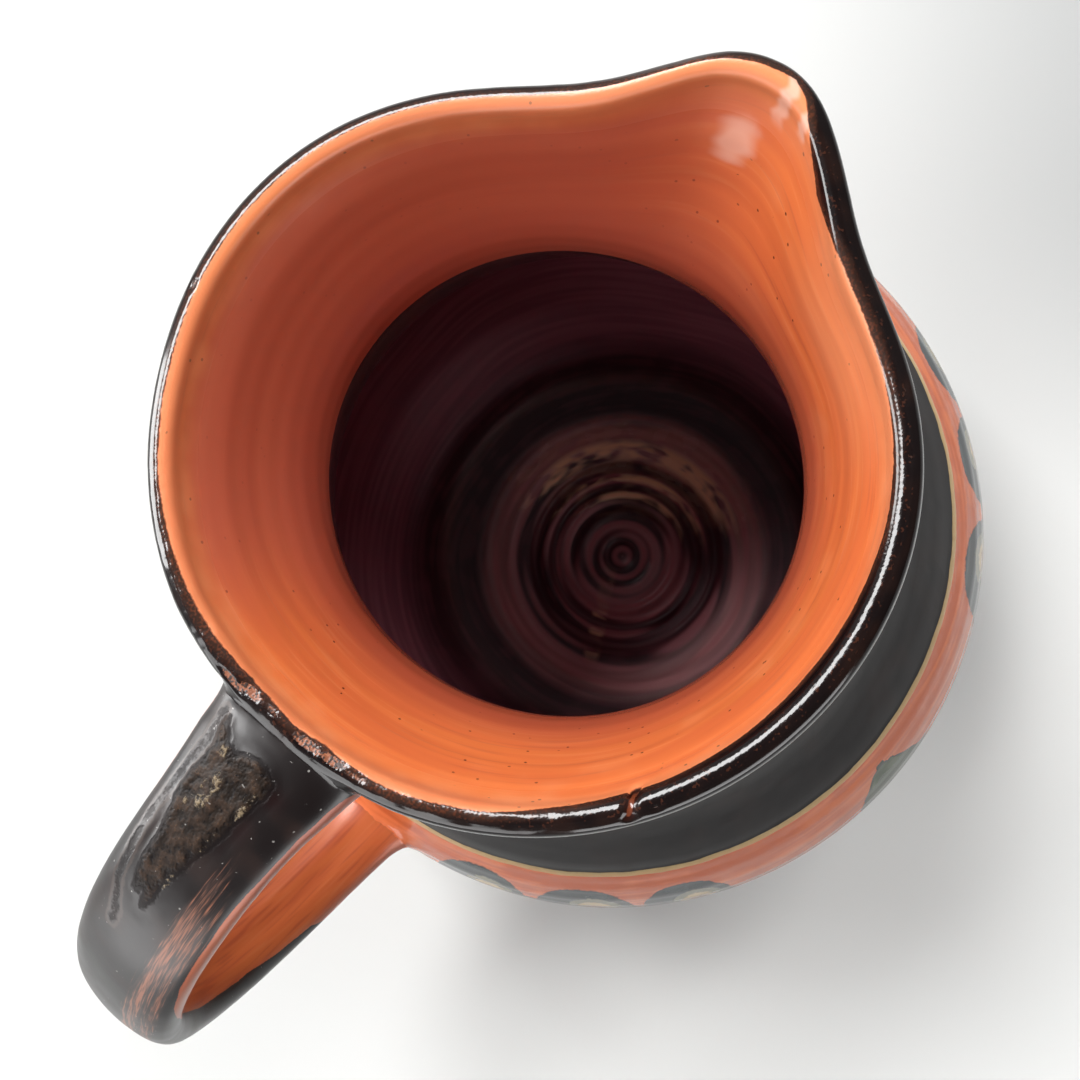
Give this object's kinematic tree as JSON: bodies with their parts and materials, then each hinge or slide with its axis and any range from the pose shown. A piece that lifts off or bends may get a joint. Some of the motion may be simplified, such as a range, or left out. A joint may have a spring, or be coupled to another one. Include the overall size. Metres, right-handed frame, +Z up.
{
  "type": "ceramic jug",
  "caption": "Hand-thrown ceramic pouring jug with a round belly, flared neck, pinched pouring lip and strap handle, glazed and slip-painted.",
  "frame": {"origin": "centre of the flat underside", "axes": "+Z up, +X towards the pouring lip, -X towards the handle"},
  "size_m": [0.2276, 0.1882, 0.2159],
  "materials": {
    "glazed_earthenware": "orange slip and black-brown slip under a clear glossy glaze"
  },
  "bodies": {
    "root": {"jug": "glazed_earthenware"}
  },
  "joints": []
}
